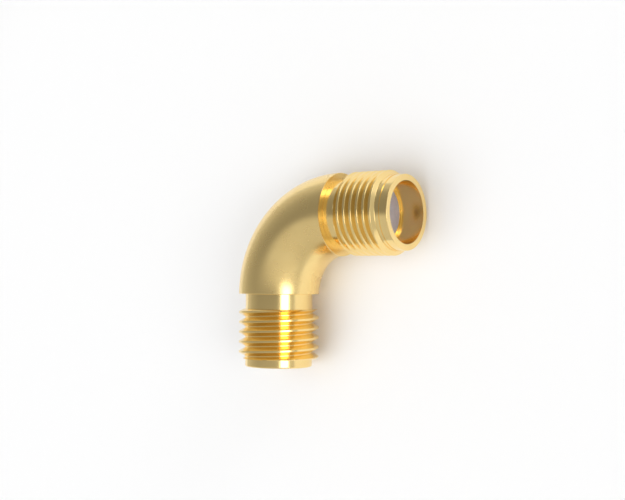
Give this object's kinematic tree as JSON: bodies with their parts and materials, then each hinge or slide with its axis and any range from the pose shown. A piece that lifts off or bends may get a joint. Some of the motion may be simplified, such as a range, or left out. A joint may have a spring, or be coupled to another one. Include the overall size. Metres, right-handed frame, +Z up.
{
  "type": "coax adapter",
  "caption": "Gold-plated swept right-angle coaxial adapter with a threaded jack at each end, lying on its side.",
  "frame": {"origin": "under the middle of the part's box, on the surface it lies on", "axes": "+Z up, square to the plane of the bend; -Y out of the front jack's mouth; +X out of the side jack's mouth"},
  "size_m": [0.015, 0.015, 0.0063],
  "materials": {
    "gold_plate": "gold plate over brass, polished, with fine turning lines",
    "ptfe": "white fluoropolymer, machined, slightly translucent",
    "silver_plate": "silver plate over a drawn copper alloy rod"
  },
  "bodies": {
    "root": {"elbow_body": "gold_plate", "front_jack_shell": "gold_plate", "side_jack_shell": "gold_plate", "front_insulator": "ptfe", "side_insulator": "ptfe", "front_contact": "gold_plate", "side_contact": "gold_plate", "curved_conductor": "silver_plate"}
  },
  "joints": []
}
